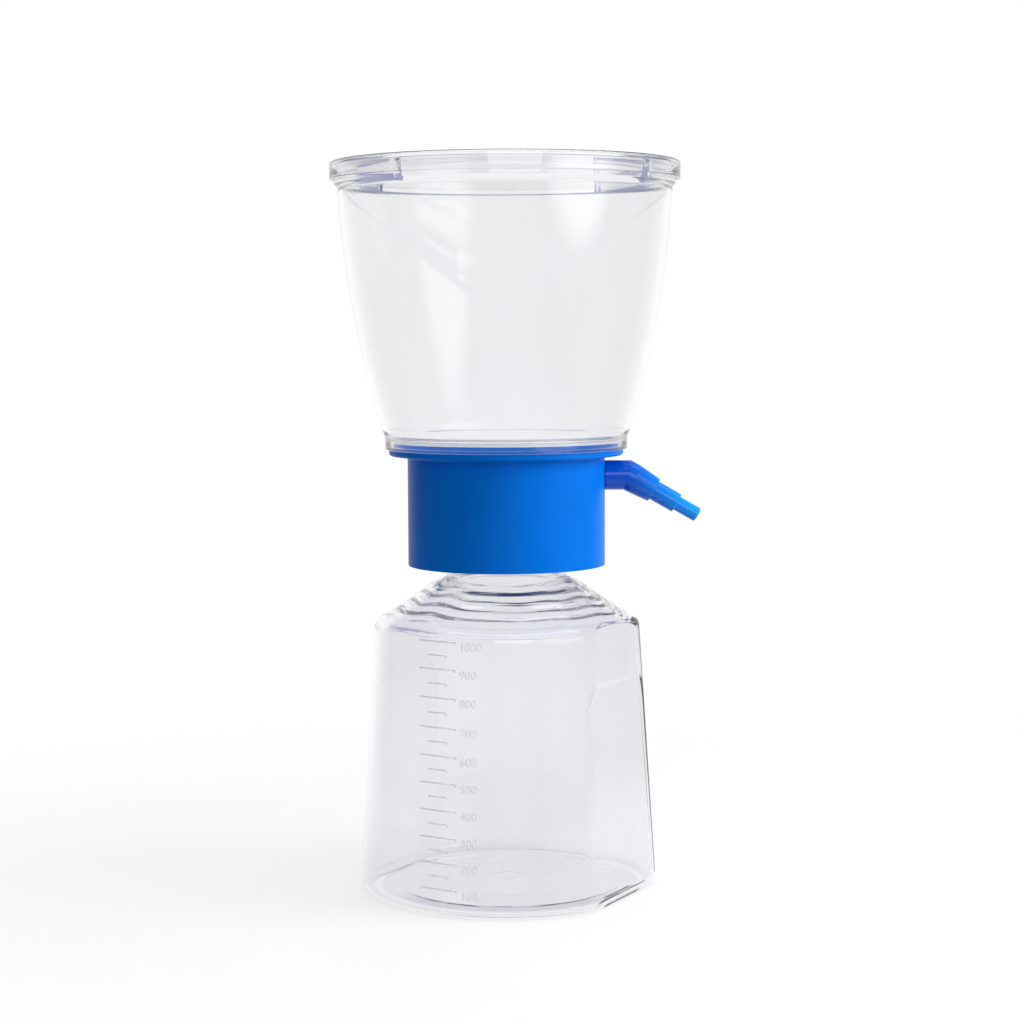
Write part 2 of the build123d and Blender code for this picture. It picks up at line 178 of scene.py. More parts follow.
# --- Sizes in millimetres -------------------------------------------------------------------------

bottle_turn = np.radians(-29.0)
bottle_wall = 1.7
wall_drop = 1.13 * bottle_wall  # how much lower the inner face of a sloping wall lies
foot_radius, corner_radius, corner_height, foot_rounding = 61.1, 54.1, 111.0, 2.6
floor_rings = (  # the pushed-up floor from its middle out: radius, height, rounding
    (0, 2.6, 0), (5.2, 2.5, 2.4), (8.0, 2.35, 2.4), (30.0, 1.9, 20.0), (46.0, 1.0, 6.0),
    (52.0, 0, 4.0),
)
grip_half_angle = np.radians(25.0)
grip_foot = foot_radius * np.cos(grip_half_angle)
grip_lean = (foot_radius - corner_radius) / corner_height * np.cos(grip_half_angle)
grip_top, grip_corner = 88.8, 12.0
grip_overrun, grip_slope = 4.0, 4.0  # how far the recess passes the flat's edge, its rim's width
grip_zone = (grip_top - 20.0, grip_top + 5.0)
neck_radius, neck_foot, finish_foot = 24.4, 129.0, 136.0
finish_radius, neck_bore, mouth_height = 21.35, 19.2, 158.0
shoulder_steps = ((44.6, 1.3), (38.6, 1.6), (32.6, 1.5))  # radius and rise of each
ripple_height, ripple_pitch = 0.25, 4.8
ripple_swirls = ((2.6, 2, 0.6), (1.7, 5, 0.0), (1.1, 11, 2.0))  # swing, waves round, start
thread_pitch, thread_height, thread_turns, thread_start = 4.2, 1.4, 1.25, 147.6
thread_half_width, thread_flank = 1.2, 0.75
thread_fade = 14  # degrees
thread_zone = (146.0, 155.0)

flange_radius, flange_top = 47.7, 182.1
seat_radius, membrane_top = 46.3, 184.95
side_gap, face_gap, membrane_gap = 0.15, 0.02, 0.06
funnel_wall = 1.8
ring_foot, ring_radius, ring_top = 180.8, 49.3, 185.4
ledge_bore, ledge_height = 45.0, 1.4
cup_foot, cup_middle, cup_top = (50.3, 188.2), (61.3, 232.8), (67.6, 286.0)
rim_foot, rim_radius, rim_top = 287.3, 68.9, 294.5

lid_bore, lid_radius, lid_foot, lid_top = 69.3, 70.8, 289.1, rim_top + 1.85
arc_middles = (np.radians(9.0), np.radians(9.0) + np.pi)
arc_half_angle, lug_half_angle = np.radians(42.5), 1.2 / 65.5
arc_foot, lug_depth = 286.9, 1.1
arc_inner_face, arc_radius = (64.1, 64.5), 65.5
arc_section = (  # radius and the share of the arc's depth that hangs there
    (0, 0), (60.0, 0), (62.0, 0), (63.0, 0), (64.1, 0), (64.2, 0.02), (64.25, 0.5), (64.3, 1),
    (64.6, 1), (65.0, 1), (65.4, 1), (65.5, 0.97), (65.5, 0.5), (65.5, 0.0),
)

volume_heights = {
    1000: 108.0, 900: 97.2, 800: 86.0, 700: 74.5, 600: 63.4, 500: 52.8, 400: 42.2, 300: 31.6,
    200: 21.6, 100: 11.4,
}
long_line, short_line = (-34.3, -20.6), (-31.0, -24.0)  # their ends, beside the axis from in front
long_thickness, short_thickness, line_hook = 0.62, 0.55, 0.9
number_left, number_drop = -18.6, 1.9
flat_proud = 0.5  # how far lines and numbers rise each way before they are wrapped on the wall


class BottleSizes(PropertyGroup):
    """Softness of the receiver bottle's edges, depth of its grip recesses and size of its moulded
    scale.
    """
    edge: FloatProperty(
        name="Grip Edge", description="Softness of the edges of the flat sides",
        default=1.8 * MM, min=0.2 * MM, max=6 * MM, subtype="DISTANCE", unit="LENGTH")
    sink: FloatProperty(
        name="Grip Sink", description="Depth of the arched recess in each flat side",
        default=0.75 * MM, min=0.0, max=3 * MM, subtype="DISTANCE", unit="LENGTH")
    mark_height: FloatProperty(
        name="Mark Relief", description="How far the moulded scale stands proud of the wall",
        default=0.18 * MM, min=0.05 * MM, max=1 * MM, subtype="DISTANCE", unit="LENGTH")
    digit_size: FloatProperty(
        name="Digit Height", description="Height of the scale's numbers",
        default=3.4 * MM, min=1 * MM, max=8 * MM, subtype="DISTANCE", unit="LENGTH")


class ClearPlastic(PropertyGroup):
    """Clear polystyrene of the bottle, funnel and lid."""
    tint: FloatVectorProperty(
        name="Tint", description="Colour that a thickness of one wall leaves",
        default=(0.933, 0.936, 0.956), size=3, min=0, max=1, subtype="COLOR")
    gloss: FloatProperty(
        name="Roughness", description="Mean roughness of the moulded skin",
        default=0.025, min=0, max=1)


class BluePlastic(PropertyGroup):
    """Blue plastic of the collar and the hose connector."""
    collar: FloatVectorProperty(
        name="Collar", description="Satin blue of the collar",
        default=(0.001, 0.158, 0.69), size=3, min=0, max=1, subtype="COLOR")
    connector: FloatVectorProperty(
        name="Connector", description="Glossy blue of the connector's body",
        default=(0.001, 0.09, 0.57), size=3, min=0, max=1, subtype="COLOR")
    # painted light: the tip's paler blue stands in for light shining through its thin wall; the
    # plastic itself is the same blue
    tip: FloatVectorProperty(
        name="Connector Tip", description="Paler blue of the connector's thin end",
        default=(0.004, 0.30, 0.92), size=3, min=0, max=1, subtype="COLOR")


class StudioLight(PropertyGroup):
    """Lamps and surround."""
    window: FloatProperty(name="Right Window", description="Power of the tall softbox on the right",
                          default=1.35, min=0, subtype="POWER", unit="POWER")
    fill: FloatProperty(name="Left Window", description="Power of the softbox on the left",
                        default=0.05, min=0, subtype="POWER", unit="POWER")
    side: FloatProperty(name="Side Wash", description="Power of the soft wash from the right side",
                        default=12.0, min=0, subtype="POWER", unit="POWER")
    front: FloatProperty(name="Front Fill", description="Power of the soft light from in front",
                         default=3.0, min=0, subtype="POWER", unit="POWER")
    top: FloatProperty(name="Top Panel", description="Power of the overhead panel",
                       default=10.0, min=0, subtype="POWER", unit="POWER")
    surround: FloatProperty(name="Surround", description="Strength of the room's soft light",
                            default=0.22, min=0, max=2)


# --- Materials ------------------------------------------------------------------------------------

def blank_material(name):
    """Node material with its Principled shader, node list and links."""
    material = bpy.data.materials.new(name)
    material.use_nodes = True
    tree = material.node_tree
    return material, tree.nodes["Principled BSDF"], tree.nodes, tree.links


def noise_on_object(nodes, links, scale, detail=2.0, stretch=(1, 1, 1)):
    """Noise texture on Object coordinates, stretched along the axes."""
    coords = nodes.new("ShaderNodeTexCoord")
    mapping = nodes.new("ShaderNodeMapping")
    mapping.inputs["Scale"].default_value = stretch
    noise = nodes.new("ShaderNodeTexNoise")
    noise.inputs["Scale"].default_value = scale
    noise.inputs["Detail"].default_value = detail
    links.new(coords.outputs["Object"], mapping.inputs["Vector"])
    links.new(mapping.outputs["Vector"], noise.inputs["Vector"])
    return noise.outputs["Fac"]


def ranged(nodes, links, source, start, end, low=0, high=1, soft=False):
    """Map Range from start..end to low..high, in a straight line or a soft step."""
    span = nodes.new("ShaderNodeMapRange")
    if soft:
        span.interpolation_type = "SMOOTHSTEP"
    limits = {"From Min": start, "From Max": end, "To Min": low, "To Max": high}
    for socket, value in limits.items():
        span.inputs[socket].default_value = value
    links.new(source, span.inputs["Value"])
    return span.outputs["Result"]


def worked_out(nodes, links, operation, *terms):
    """Math node on sockets and plain numbers."""
    step = nodes.new("ShaderNodeMath")
    step.operation = operation
    for socket, term in zip(step.inputs, terms):
        if isinstance(term, (int, float)):
            socket.default_value = term
        else:
            links.new(term, socket)
    return step.outputs["Value"]


def varied_roughness(nodes, links, shader, noise, low, high):
    """Roughness from low to high, chosen by a noise."""
    links.new(ranged(nodes, links, noise, 0.3, 0.7, low, high), shader.inputs["Roughness"])


def bumped(nodes, links, shader, source, strength, distance):
    """Bump from a noise, into the shader's normal."""
    bump = nodes.new("ShaderNodeBump")
    bump.inputs["Strength"].default_value = strength
    bump.inputs["Distance"].default_value = distance
    links.new(source, bump.inputs["Height"])
    links.new(bump.outputs["Normal"], shader.inputs["Normal"])


def two_tones(nodes, links, shader, source, dark, light):
    """Base colour between two tones, chosen by a noise."""
    ramp = nodes.new("ShaderNodeValToRGB")
    for element, position, tone in zip(ramp.color_ramp.elements, (0.3, 0.7), (dark, light)):
        element.position = position
        element.color = (*tone, 1)
    links.new(source, ramp.inputs["Fac"])
    links.new(ramp.outputs["Color"], shader.inputs["Base Color"])


def drifting(nodes, links, shader, source, colour, darker, lighter):
    """Base colour that a noise takes from darker to lighter times its mean, and not over 1."""
    tone = np.array(colour)
    two_tones(nodes, links, shader, source,
              tuple(tone * darker), tuple(np.minimum(tone * lighter, 1)))


def clear_polystyrene(name, settings, density):
    """Refracting plastic with faint upright flow lines; density deepens the tint."""
    material, shader, nodes, links = blank_material(name)
    flow = noise_on_object(nodes, links, scale=55.0, stretch=(1, 1, 0.12))
    drifting(nodes, links, shader, flow, np.array(settings.tint) ** density, 0.985, 1.01)
    varied_roughness(nodes, links, shader, flow, settings.gloss * 0.6, settings.gloss * 1.4)
    bumped(nodes, links, shader, flow, strength=0.05, distance=0.0004)
    shader.inputs["IOR"].default_value = 1.56
    shader.inputs["Transmission Weight"].default_value = 1.0
    return material


def moulded_blue(name, colour, roughness):
    """Satin moulded plastic: fine spark-eroded grain with slight colour drift."""
    material, shader, nodes, links = blank_material(name)
    drift = noise_on_object(nodes, links, scale=30.0, detail=3.0)
    drifting(nodes, links, shader, drift, colour, 0.94, 1.05)
    varied_roughness(nodes, links, shader, drift, roughness * 0.92, roughness * 1.08)
    grain = noise_on_object(nodes, links, scale=2600.0)
    bumped(nodes, links, shader, grain, strength=0.12, distance=0.00015)
    shader.inputs["IOR"].default_value = 1.5
    shader.inputs["Specular IOR Level"].default_value = 0.04
    return material


def pale_moulding(name, colour, roughness):
    """Uncoloured plastic, slightly waxy, with a fine grain."""
    material, shader, nodes, links = blank_material(name)
    drift = noise_on_object(nodes, links, scale=45.0, detail=3.0)
    drifting(nodes, links, shader, drift, colour, 0.97, 1.02)
    bumped(nodes, links, shader, drift, strength=0.08, distance=0.0003)
    shader.inputs["Roughness"].default_value = roughness
    shader.inputs["Subsurface Weight"].default_value = 0.1
    shader.inputs["Subsurface Scale"].default_value = 0.002
    return material


def porous_sheet(name, colour):
    """Matte filter membrane: tiny pores as bump and speckle."""
    material, shader, nodes, links = blank_material(name)
    pores = noise_on_object(nodes, links, scale=1800.0, detail=4.0)
    drifting(nodes, links, shader, pores, colour, 0.96, 1.02)
    bumped(nodes, links, shader, pores, strength=0.2, distance=0.0001)
    shader.inputs["Roughness"].default_value = 0.85
    shader.inputs["Sheen Weight"].default_value = 0.1
    return material


def frosted(name, colour, clearness, roughness):
    """Finely etched surface of the moulded marks."""
    material, shader, nodes, links = blank_material(name)
    frost = noise_on_object(nodes, links, scale=900.0)
    drifting(nodes, links, shader, frost, colour, 1.0, 1.12)
    shader.inputs["Transmission Weight"].default_value = clearness
    shader.inputs["Roughness"].default_value = roughness
    shader.inputs["IOR"].default_value = 1.42
    return material


def finish_node(node, material):
    """Give a carried-over solid its material."""
    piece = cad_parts[node]
    piece.data.materials.clear()
    piece.data.materials.append(material)


def seat(piece, material, body, slot, *nodes):
    """Give a new piece its material and body, and hide the nodes that it stands for."""
    piece.data.materials.append(material)
    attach(piece, body)
    if nodes:
        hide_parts(*nodes)


# --- Bottle ---------------------------------------------------------------------------------------

def wall_radius(z):
    """Radius of the bottle's round outer wall at height z."""
    return foot_radius - (foot_radius - corner_radius) / corner_height * z


def shoulder_corners():
    """Stepped cone from the body's corner to the neck: corners (r, z, rounding)."""
    run = corner_radius - neck_radius
    rise = neck_foot - corner_height - sum(step[1] for step in shoulder_steps)
    corners = [(corner_radius, corner_height, 5.0)]
    height, last = corner_height, corner_radius
    for radius, step in shoulder_steps:
        height += rise * (last - radius) / run
        corners.append((radius + step / 2, height, 0.7))
        height += step
        corners.append((radius - step / 2, height, 0.7))
        last = radius
    corners.append((neck_radius, neck_foot, 1.2))
    return corners


def bottle_profile():
    """Closed section of the bottle: floor, outer wall, mouth, inner wall and floor again."""
    bore = neck_radius - bottle_wall
    outer = [
        *floor_rings, (foot_radius, 0, 5.5), *((wall_radius(z), z, 0) for z in grip_zone),
        *shoulder_corners(),
    ]
    finish = [
        (neck_radius, finish_foot, 0.5), (finish_radius, finish_foot, 0.3),
        *((finish_radius, z, 0) for z in thread_zone),
        (finish_radius, mouth_height, 0.5), (neck_bore, mouth_height, 0.5),
        (neck_bore, finish_foot, 0.4), (bore, finish_foot - wall_drop, 0.6),
    ]
    inner = [
        (bore, neck_foot - wall_drop, 2.0),
        (corner_radius - bottle_wall, corner_height - wall_drop, 3.6),
        *((wall_radius(z) - bottle_wall, z, 0) for z in grip_zone[::-1]),
        (foot_radius - bottle_wall, bottle_wall, 3.8),
        *((r, z + bottle_wall, rounding) for r, z, rounding in floor_rings[::-1]),
    ]

    def pace(z):
        """Short steps at the recess's top, the thread and the rippled shoulder."""
        if grip_zone[0] < z < grip_zone[1]:
            return 1.0
        if thread_zone[0] < z < thread_zone[1]:
            return 0.4
        return 0.88 if corner_height - 2.0 < z < neck_foot else 3.5

    return paced(rounded_profile(outer + finish + inner, steps=4), pace)


def bottle_columns(count):
    """Column angles, closer near the edges of the flat sides.

    Their density is 1 + 5 exp(-(d / spread)^2), where d is the angle to the nearest edge.
    """
    edge, spread = np.radians(24.2), np.radians(2.6)
    turn = np.linspace(-np.pi, np.pi, 20001)
    near = np.abs(np.abs(turned(2 * (turn - bottle_turn)) / 2) - edge)
    share = np.cumsum(1 + 5 * np.exp(-((near / spread) ** 2)))
    share = (share - share[0]) / (share[-1] - share[0])
    return np.interp(np.arange(count) / count, share, turn)


def bottle_points(settings, angles):
    """Bottle wall as r(a, z).

    The round wall's radius meets each flat side, at distance d(z) / cos(a - turn), in a smooth
    minimum. An arched recess and the rounding of the foot lower d. The ridge of the thread adds
    its height where z is near start + pitch (a + 2 pi n) / (2 pi).
    """
    profile = bottle_profile()
    r = np.repeat(profile[:, :1], len(angles), axis=1)
    z = np.repeat(profile[:, 1:2], len(angles), axis=1)
    inside = (np.arange(len(profile)) > np.argmax(profile[:, 1]))[:, None]
    inset = np.where(inside, bottle_wall, 0.0)
    foot_curve = np.clip(foot_rounding - (z - inset), 0, foot_rounding)
    foot = foot_rounding - np.sqrt(foot_rounding ** 2 - foot_curve ** 2)
    half_width = wall_radius(z) * np.sin(grip_half_angle) + grip_overrun
    near_z = z - (grip_top - grip_corner)
    beyond_reach = 1e3
    for side in (bottle_turn, bottle_turn + np.pi):
        away = turned(angles - side)
        facing = np.abs(away) < np.radians(60)
        away = np.where(facing, away, 0)
        near_x = np.abs(grip_foot * np.tan(away)) - (half_width - grip_corner)
        outside = (np.hypot(np.maximum(near_x, 0), np.maximum(near_z, 0))
                   + np.minimum(np.maximum(near_x, near_z), 0))
        recess = settings.sink / MM * soft_step(0.5 + (grip_corner - outside) / grip_slope)
        flat = grip_foot - grip_lean * z - recess - foot
        reach = np.where(facing, flat / np.cos(away) - inset, beyond_reach)
        r = np.where(z < neck_foot, soft_less(r, reach, settings.edge / MM), r)
    ridge = np.zeros_like(r)
    for lap in (0, 360):
        travelled = np.degrees(angles % (2 * np.pi)) + lap
        climb = np.abs(z - (thread_start + thread_pitch * travelled / 360))
        left = 360 * thread_turns - travelled
        ends = soft_step(travelled / thread_fade) * soft_step(left / thread_fade)
        flanks = soft_step((thread_half_width - climb) / thread_flank)
        ridge = np.maximum(ridge, thread_height * ends * flanks)
    threaded = (z > thread_zone[0]) & (z < thread_zone[1]) & ~inside
    r = np.where(threaded, r + ridge, r)
    z = z - np.where(inside, shoulder_ripple(angles, profile[:, :1], profile[:, 1:2]), 0)
    return np.stack([r * np.cos(angles), r * np.sin(angles), z], axis=-1)


def shoulder_ripple(angles, r, z):
    """Waves of the blown shoulder's inner face, in millimetres.

    Rings of pitch p run round the neck, with a phase that drifts with the angle a:
    height 0.75 (1 + cos(a)^2) times -sin(2 pi r / p + (0.2 + 0.8 cos(a)^2) sum of
    swing sin(n a + start)), faded in from the neck and out to the corner.
    """
    sideways = np.cos(angles) ** 2
    drift = sum(swing * np.sin(n * angles + start) for swing, n, start in ripple_swirls)
    wave = -np.sin(2 * np.pi * r / ripple_pitch + drift * (0.2 + 0.8 * sideways))
    fade_in, fade_out, margin = 4.0, 6.0, 2.0
    fade = soft_step((r - neck_radius) / fade_in)
    fade = fade * soft_step((corner_radius - margin - r) / fade_out)
    fade = fade * (z > corner_height - 2 * margin) * (z < finish_foot)
    return ripple_height * fade * (0.75 + 0.75 * sideways) * wave


def cup_profile(steps=60):
    """Outer wall of the funnel's cup: a circle through its foot, middle and top."""
    a, b, c = np.array(cup_foot), np.array(cup_middle), np.array(cup_top)
    ab, ac = b - a, c - a
    cross = 2 * (ab[0] * ac[1] - ab[1] * ac[0])
    offset = (ac[1] * (ab @ ab) - ab[1] * (ac @ ac), ab[0] * (ac @ ac) - ac[0] * (ab @ ab))
    centre = a + np.array(offset) / cross
    first = np.arctan2(*(a - centre)[::-1])
    last = np.arctan2(*(c - centre)[::-1])
    if abs(last - first) > np.pi:
        last -= 2 * np.pi * np.sign(last - first)
    t = np.linspace(first, last, steps)
    return centre + np.linalg.norm(a - centre) * np.stack([np.cos(t), np.sin(t)], axis=-1)


def label_arrays(text, size):
    """Vertices and faces of raised lettering laid flat: x along the words, y up, z proud."""
    curve = bpy.data.curves.new("label", "FONT")
    curve.body = text
    curve.size = size
    curve.extrude = flat_proud
    curve.offset = 0.005 * size  # slightly bolder strokes
    curve.resolution_u = 3
    curve.align_y = "CENTER"
    holder = bpy.data.objects.new("label", curve)
    bpy.context.scene.collection.objects.link(holder)
    bpy.context.view_layer.update()
    depsgraph = bpy.context.evaluated_depsgraph_get()
    mesh = bpy.data.meshes.new_from_object(holder.evaluated_get(depsgraph))
    verts = np.empty(len(mesh.vertices) * 3, np.float32)
    mesh.vertices.foreach_get("co", verts)
    faces = [tuple(polygon.vertices) for polygon in mesh.polygons]
    bpy.data.objects.remove(holder)
    bpy.data.curves.remove(curve)
    bpy.data.meshes.remove(mesh)
    return verts.reshape(-1, 3), faces


def bar_arrays(left, right, thickness, hook):
    """Rounded bar from left to right with a short hook hanging from its right end.

    Its section is a ring of eight points, and its line runs level, then turns down.
    """
    level = [(x, 0.0) for x in np.linspace(0, 1, 14) * (right - left) + left]
    line = np.array(level + [(right + 0.35 * hook, -0.35 * hook), (right + 0.4 * hook, -hook)])
    ahead = np.gradient(line, axis=0)
    ahead /= np.linalg.norm(ahead, axis=1)[:, None]
    across = np.stack([-ahead[:, 1], ahead[:, 0]], axis=-1)
    around = even_turn(8)
    wide = (thickness / 2) * np.cos(around)
    x = line[:, :1] + across[:, :1] * wide
    y = line[:, 1:] + across[:, 1:] * wide
    z = np.broadcast_to(flat_proud * np.sin(around), x.shape)
    rows, columns = x.shape
    faces = [tuple(quad) for quad in grid_quads(rows, columns, flipped=True)]
    faces.append(tuple(range(columns)))
    faces.append(tuple((rows - 1) * columns + np.arange(columns)[::-1]))
    return np.stack([x, y, z], axis=-1).reshape(-1, 3), faces


def joined(name, parts):
    """One mesh object from several (vertices in millimetres, faces) parts."""
    verts, faces, total = [], [], 0
    for found, rings in parts:
        verts.append(found)
        faces.extend(tuple(int(v) + total for v in ring) for ring in rings)
        total += len(found)
    mesh = bpy.data.meshes.new(name)
    mesh.from_pydata((np.vstack(verts) * MM).tolist(), [], faces)
    mesh.validate()
    piece = bpy.data.objects.new(name, mesh)
    bpy.context.scene.collection.objects.link(piece)
    return piece


class FILTRATION_OT_bottle(Operator):
    """Make the receiver bottle as one closed skin with both walls, grips and neck thread"""
    bl_idname = "filtration.bottle"
    bl_label = "Make Bottle"

    def execute(self, context):
        scene = context.scene
        points = bottle_points(scene.filtration_bottle, bottle_columns(count=238))
        plastic = clear_polystyrene("bottle_polystyrene", scene.filtration_clear, density=1.0)
        seat(skin("bottle_shell", points), plastic, "bottle", "bottle_clear", "bottle")
        return {"FINISHED"}


class FILTRATION_OT_scale(Operator):
    """Make the moulded volume scale on the bottle's wall: lines each 50 mL, numbers each 100 mL"""
    bl_idname = "filtration.scale"
    bl_label = "Make Volume Scale"

    def execute(self, context):
        settings = context.scene.filtration_bottle
        relief = settings.mark_height / MM
        letter_size = 1.36 * settings.digit_size / MM  # for digits as high as the setting says
        front = -np.pi / 2
        lines, numbers = [], []

        def wrap(parts, part, start, height, proud):
            """x goes round the wall from angle start, y up it and z out of it."""
            flat, found = part
            z = height + flat[:, 1]
            r = wall_radius(z)
            angle = start + flat[:, 0] / r
            r = r + flat[:, 2] / flat_proud * proud
            parts.append((np.stack([r * np.cos(angle), r * np.sin(angle), z], axis=-1), found))

        def line(ends, height, thickness):
            """A bar round the wall between two distances beside the axis."""
            r = wall_radius(height)
            left, right = (r * np.arcsin(end / r) for end in ends)
            wrap(lines, bar_arrays(left, right, thickness, line_hook), front, height, relief)

        values = sorted(volume_heights)
        for value in values:
            height = volume_heights[value]
            line(long_line, height, long_thickness)
            start = front + np.arcsin(number_left / wall_radius(height))
            label = label_arrays(str(value), letter_size)
            wrap(numbers, label, start, height - number_drop, 1.2 * relief)
        lowest = volume_heights[100] / 2 + 0.8
        line(short_line, lowest, short_thickness)
        for low, high in zip(values[:-1], values[1:]):
            line(short_line, (volume_heights[low] + volume_heights[high]) / 2, short_thickness)
        seat(joined("volume_lines", lines),
             frosted("frosted_lines", (0.78, 0.79, 0.81), clearness=0.92, roughness=0.22),
             "bottle", "bottle_clear")
        seat(joined("volume_numbers", numbers),
             frosted("frosted_numbers", (0.96, 0.96, 0.97), clearness=0.95, roughness=0.16),
             "bottle", "bottle_clear")
        return {"FINISHED"}


# --- Funnel and lid -------------------------------------------------------------------------------

def funnel_profile():
    """Closed section of the funnel: weld ring, cup, rim, the cup's inner face and the ledge."""
    ring_bore, flange_bore = seat_radius + side_gap, flange_radius + side_gap
    flange_face = flange_top + face_gap
    ledge_foot, ledge_top = membrane_top + membrane_gap, membrane_top + ledge_height
    inner_foot, inner_top = cup_foot[0] - funnel_wall, cup_top[0] - funnel_wall
    ring = rounded_profile([
        (ledge_bore, ledge_foot, 0), (ring_bore, ledge_foot, 0.05), (ring_bore, flange_face, 0.2),
        (flange_bore, flange_face, 0.1), (flange_bore, ring_foot, 0.15),
        (ring_radius, ring_foot, 0.3), (ring_radius, ring_top, 0.5), (*cup_foot, 0),
    ], steps=3)
    rim = rounded_profile([
        (*cup_top, 0), (rim_radius, rim_foot, 0.5), (rim_radius, rim_top, 0.6),
        (inner_top, rim_top, 0.6), (inner_top, cup_top[1], 0),
    ], steps=4)
    ledge = rounded_profile([
        (inner_foot, cup_foot[1], 0), (inner_foot, ledge_top, 0.8), (ledge_bore, ledge_top, 0.4),
        (ledge_bore, ledge_foot, 0.2), (ring_bore, ledge_foot, 0),
    ], steps=4)
    cup = cup_profile()
    inner = cup[::-1] - (funnel_wall, 0)
    section = np.vstack([ring[1:-1], cup, rim[1:-1], inner, ledge[1:-1]])
    return paced(section, pace=lambda z: 4.0)


class FILTRATION_OT_funnel(Operator):
    """Make the funnel as one closed turned skin: weld ring, ledge, cup and rolled rim"""
    bl_idname = "filtration.funnel"
    bl_label = "Make Funnel"

    def execute(self, context):
        points = round_points(funnel_profile(), even_turn(256))
        settings = context.scene.filtration_clear
        plastic = clear_polystyrene("funnel_polystyrene", settings, density=0.3)
        piece = skin("funnel_shell", points, hoop=True)
        seat(piece, plastic, "filter_head", "funnel_clear", "funnel")
        return {"FINISHED"}


def lid_columns():
    """Column angles: even round the lid, and close at the ends of the two locating arcs."""
    lug, beside = lug_half_angle, lug_half_angle + 0.004
    close = np.array([-beside, -lug, -0.6 * lug, 0, 0.6 * lug, lug, beside])
    ends = [middle + half for middle in arc_middles for half in (-arc_half_angle, arc_half_angle)]
    spots = np.concatenate([even_turn(192), *(end + close for end in ends)])
    return np.unique(np.round(spots % (2 * np.pi), 5))


def lid_points(angles):
    """Lid wall: the underside with its hanging arcs, then the skirt and the top.

    The underside is at z = top of rim - depth s(r) m(a), where s is the arc section's share at
    radius r, and m is 1 within an arc and 0 outside it. At its ends the arc's inner face steps in by
    the lug's depth.
    """
    underside = rim_top + face_gap
    skirt = rounded_profile([
        (arc_radius + 0.05, underside, 0), (lid_bore, underside, 0.4), (lid_bore, lid_foot, 0.3),
        (lid_radius, lid_foot, 0.4), (lid_radius, lid_top, 1.2), (0, lid_top, 0),
    ], steps=5)
    r, share = np.array(arc_section).T[..., None]
    nearest = np.min([np.abs(turned(angles - middle)) for middle in arc_middles], axis=0)
    past_end = nearest - arc_half_angle
    inner_face = (r >= arc_inner_face[0]) & (r < arc_inner_face[1])
    lug = np.abs(past_end) <= lug_half_angle
    r = np.where(inner_face & lug, r - lug_depth, r)
    z = underside - (rim_top - arc_foot) * share * (past_end <= lug_half_angle)
    lower = np.stack([r * np.cos(angles), r * np.sin(angles), z], axis=-1)
    upper = round_points(paced(skirt, pace=lambda z: 6.0), angles)
    return np.concatenate([lower, upper])


class FILTRATION_OT_lid(Operator):
    """Make the lid as one closed skin: plate, skirt and the arcs that seat in the funnel's mouth"""
    bl_idname = "filtration.lid"
    bl_label = "Make Lid"

    def execute(self, context):
        plastic = clear_polystyrene("lid_polystyrene", context.scene.filtration_clear, density=0.3)
        seat(skin("lid_shell", lid_points(lid_columns())), plastic, "lid", "lid_clear", "lid")
        return {"FINISHED"}


# --- Collar, connector and filter -----------------------------------------------------------------

class FILTRATION_OT_collar(Operator):
    """Finish the blue collar"""
    bl_idname = "filtration.collar"
    bl_label = "Finish Collar"

    def execute(self, context):
        blue = context.scene.filtration_blue.collar
        finish_node("filter_base", moulded_blue("collar_satin_blue", blue, roughness=0.32))
        return {"FINISHED"}


class FILTRATION_OT_connector(Operator):
    """Finish the hose connector, glossier than the collar, with painted light: its blue pales
    towards the tip where light shines through the thin wall
    """
    bl_idname = "filtration.connector"
    bl_label = "Finish Connector"

    def execute(self, context):
        colours = context.scene.filtration_blue
        material, shader, nodes, links = blank_material("connector_gloss_blue")
        coords = nodes.new("ShaderNodeTexCoord")
        split = nodes.new("ShaderNodeSeparateXYZ")
        ramp = nodes.new("ShaderNodeValToRGB")
        ramp.color_ramp.elements[0].color = (*colours.connector, 1)
        ramp.color_ramp.elements[1].color = (*colours.tip, 1)
        links.new(coords.outputs["Object"], split.inputs["Vector"])
        # painted light: the blue pales from 50 to 74 mm along X, standing in for light shining
        # through the thin tip
        painted_shine_through = ranged(nodes, links, split.outputs["X"], start=50 * MM, end=74 * MM)
        links.new(painted_shine_through, ramp.inputs["Fac"])
        links.new(ramp.outputs["Color"], shader.inputs["Base Color"])
        grain = noise_on_object(nodes, links, scale=700.0)
        bumped(nodes, links, shader, grain, strength=0.04, distance=0.0001)
        varied_roughness(nodes, links, shader, grain, 0.14, 0.2)
        shader.inputs["Specular IOR Level"].default_value = 0.1
        shader.inputs["Coat Weight"].default_value = 0.4
        shader.inputs["Coat Roughness"].default_value = 0.05
        finish_node("hose_connector", material)
        return {"FINISHED"}


class FILTRATION_OT_filter(Operator):
    """Finish the membrane, its support plate, the port plug and the neck gasket"""
    bl_idname = "filtration.filter"
    bl_label = "Finish Filter"

    def execute(self, context):
        finish_node("membrane", porous_sheet("membrane_white", (0.93, 0.935, 0.95)))
        finish_node("support_plate", pale_moulding("plate_natural", (0.93, 0.935, 0.955), 0.4))
        finish_node("port_plug", porous_sheet("plug_fibre", (0.9, 0.9, 0.88)))
        finish_node("neck_gasket", pale_moulding("gasket_silicone", (0.78, 0.79, 0.8), 0.6))
        return {"FINISHED"}


# --- Studio ---------------------------------------------------------------------------------------

def lamp(name, size, power, spot, target):
    """Rectangular softbox at spot, facing target, in metres."""
    data = bpy.data.lights.new(name, "AREA")
    data.shape = "RECTANGLE"
    data.size, data.size_y = size
    data.energy = power
    softbox = bpy.data.objects.new(name, data)
    bpy.context.scene.collection.objects.link(softbox)
    softbox.location = spot
    softbox.rotation_euler = (Vector(target) - Vector(spot)).to_track_quat("-Z", "Y").to_euler()
    return softbox


